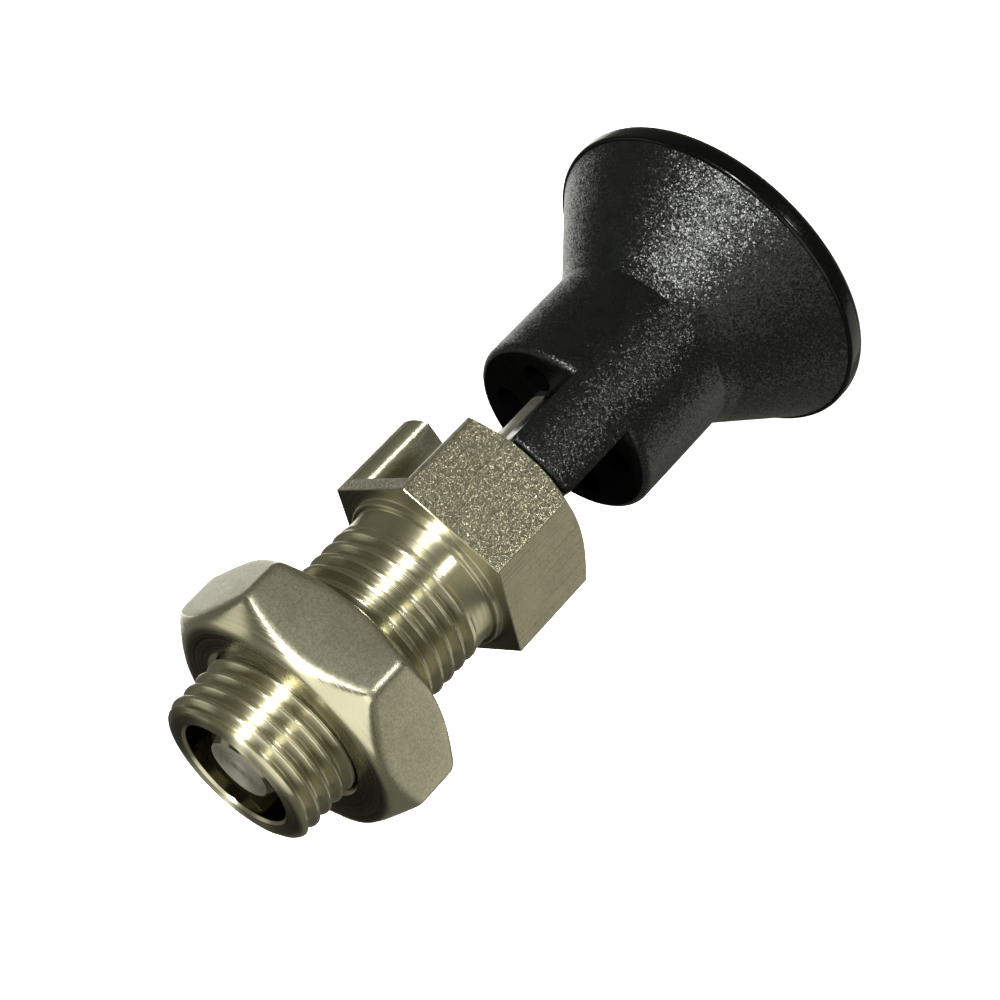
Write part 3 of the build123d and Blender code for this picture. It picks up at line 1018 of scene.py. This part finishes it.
# %% Nut, pin, spring and fasteners
centre, normal, radius = face_facts(lock_nut)
flat = (np.abs(normal[:, 2]) < 0.35) & (radius > (THREAD_RADIUS + LOCK_NUT_HALF) / 2)
finish(lock_nut, [faced, pressed], np.where(flat, 1, 0))
centre, normal, radius = face_facts(pin)
bevel = (normal[:, 2] < 0.9) & (centre[:, 2] > PIN_END - PIN_BEVEL - 0.1)
finish(pin, [ground, lapped_painted_shade], np.where(bevel, 1, 0))
finish(spring, [drawn_wire])
finish(washer, [fastener])
finish(small_nut, [fastener])

# %% Knob: grain outside and on the tongues, polished ends, pockets and flat sides
centre, normal, radius = face_facts(knob)
below_end = centre[:, 2] < NECK_END - NEAR
outside = below_end & (radius > NECK_RADIUS_KNOB - NECK_EDGE_ROUND) & (normal[:, 2] > -0.3)
flat_side = (np.abs(normal[:, 2]) < 0.05) & (radius < NECK_RADIUS_KNOB - NEAR)
on_tongue = (centre[:, 2] > NECK_END + NEAR) & ~flat_side
finish(knob, [grained, glossy], np.where(outside | on_tongue, 0, 1))
finish(cap, [glossy])

# %% [markdown]
# ## Floor and light
#
# The floor is a plain white sheet. Polished steel is a mirror, so what it reflects decides how
# it looks, and a white floor all round would wash it out. The floor is therefore hidden from
# everything but the camera. The steel sees a dim room instead, with a few lamps in it. Two
# narrow ones on the camera's side draw the two bright lines along the thread, and the taller of
# them lights the grain of the knob. Large soft ones above and at the sides lift the chamfers,
# the flats and the flare. Lamps with a negative elevation stand below the floor, which is no
# trouble, because it casts no shadow. A dark curtain behind the plunger gives the faces that
# look towards the nose something dark to mirror. The floor glows, so that it stays evenly white
# without a lamp of its own.

# %% Floor
def floor_sheet(half_size):
    """A flat square under the object."""
    points = np.array([(-1, -1, 0), (1, -1, 0), (1, 1, 0), (-1, 1, 0)]) * half_size
    mesh = bpy.data.meshes.new("floor")
    mesh.from_pydata(points, [], [(0, 1, 2, 3)])
    sheet = bpy.data.objects.new("floor", mesh)
    bpy.context.scene.collection.objects.link(sheet)
    return sheet


floor = floor_sheet(4.0)  # metres
paper, _, shader, _ = blank("white_studio_paper")
shader.inputs["Base Color"].default_value = linear("f3f3f3")
shader.inputs["Roughness"].default_value = 0.9
shader.inputs["Emission Color"].default_value = linear("ffffff")
shader.inputs["Emission Strength"].default_value = 1.0
floor.data.materials.append(paper)
floor.visible_glossy = False
floor.visible_diffuse = False
floor.visible_shadow = False

# %% Aiming a lamp or a camera
def towards(azimuth, elevation):
    """Unit vector to a direction given in degrees."""
    a, e = np.radians(azimuth), np.radians(elevation)
    return np.array([np.cos(a) * np.cos(e), np.sin(a) * np.cos(e), np.sin(e)])


def aimed(point, azimuth, elevation, distance, roll=0.0):
    """Matrix of a lamp or camera that stands in a direction from a point and looks at it.

    Lamps and cameras look along their own -z, so their z points away from the object. Without
    roll their x is level, and roll turns x and y about z by so many degrees.
    """
    away = towards(azimuth, elevation)
    level = np.array([-away[1], away[0], 0]) / np.hypot(away[0], away[1])
    turn = np.radians(roll)
    side = np.cos(turn) * level + np.sin(turn) * np.cross(away, level)
    matrix = np.eye(4)
    matrix[:3] = np.stack([side, np.cross(away, side), away, point + away * distance], axis=1)
    return Matrix(matrix.tolist())


# %% Lamps
MIDDLE = np.array([0.0, 0.0, NOSE / 2]) * MM


def lamp(name, azimuth, elevation, distance, width, height, radiance, colour):
    """A soft lamp that faces the object.

    An area lamp of power P and area A has the radiance P / (pi A), so its power follows from
    how bright its face is to be.
    """
    data = bpy.data.lights.new(name, "AREA")
    data.shape = "RECTANGLE"
    data.size, data.size_y = width, height
    data.energy = radiance * np.pi * width * height
    data.color = colour
    lamp_object = bpy.data.objects.new(name, data)
    bpy.context.scene.collection.objects.link(lamp_object)
    lamp_object.matrix_world = aimed(MIDDLE, azimuth, elevation, distance)


# Azimuth and elevation in degrees, then distance, width and height in metres, radiance, colour.
LAMPS = {
    "key": (-35, 37, 0.9, 0.07, 0.45, 190, (0.98, 1.0, 0.98)),
    "second": (-79, -22, 0.9, 0.075, 0.16, 80, (0.98, 1.0, 0.98)),
    "top_softbox": (-120, 74, 0.8, 0.8, 0.8, 1.5, (1.0, 1.0, 0.93)),
    "right_softbox": (-103, 37, 0.9, 0.6, 0.4, 1.7, (0.98, 1.0, 0.93)),
    "left_wall": (90, -22, 1.0, 0.42, 0.6, 1.6, (1.0, 1.0, 0.95)),
    "left_shoulder": (57, 43, 0.9, 0.45, 0.3, 0.95, (1.0, 1.0, 0.9)),
    "right_wall": (-172, -23, 1.0, 0.7, 0.9, 0.85, (1.0, 1.0, 0.88)),
}
for name, values in LAMPS.items():
    lamp(name, *values)

room = bpy.data.worlds.new("dim_room")
bpy.context.scene.world = room
room.use_nodes = True
background = room.node_tree.nodes["Background"]
background.inputs["Color"].default_value = (1.0, 0.99, 0.83, 1.0)

# A dark curtain hangs behind the plunger. Its middle is in the direction CURTAIN. The walls fade
# into it while the cosine between that direction and the way one looks grows from CURTAIN_START
# to CURTAIN_FULL.
CURTAIN = towards(118, 25)
CURTAIN_START, CURTAIN_FULL = 0.89, 0.975
WALL_STRENGTH, CURTAIN_STRENGTH = 0.2, 0.01
look = add(room.node_tree, "ShaderNodeTexCoord").outputs["Generated"]
nearness = {0: look, 1: CURTAIN}
nearness = add(room.node_tree, "ShaderNodeVectorMath", nearness, operation="DOT_PRODUCT").outputs["Value"]
fade = {"Value": nearness, "From Min": CURTAIN_START, "From Max": CURTAIN_FULL,
        "To Min": WALL_STRENGTH, "To Max": CURTAIN_STRENGTH}
walls = add(room.node_tree, "ShaderNodeMapRange", fade).outputs["Result"]
room.node_tree.links.new(walls, background.inputs["Strength"])

# %% [markdown]
# ## Camera
#
# A long lens close to the object, tipped on its side, so that the plunger runs from the lower
# left to the upper right. The place of the camera is given by the point it aims at, the
# direction it stands in, its distance and its roll.

# %% Camera
AIM = np.array([0.05, -0.82, 34.36]) * MM
VIEW_AZIMUTH, VIEW_ELEVATION = -65.83, 25.67
DISTANCE = 0.24
ROLL = -136.45
LENS = 95.8

camera_data = bpy.data.cameras.new("camera")
camera_data.lens = LENS
camera_data.sensor_width = 36.0
camera_data.clip_start = 0.01
camera = bpy.data.objects.new("camera", camera_data)
bpy.context.scene.collection.objects.link(camera)
camera.matrix_world = aimed(AIM, VIEW_AZIMUTH, VIEW_ELEVATION, DISTANCE, ROLL)
bpy.context.scene.camera = camera
bpy.context.scene.view_settings.view_transform = "Standard"

# %% [markdown]
#
# The dressed model is meant to fill the same box as the engineering model. A helper gives the
# two corners of a box as lists of plain numbers.

def plain(box):
    """Two corners as lists of plain numbers."""
    return [[float(v) for v in corner] for corner in box]
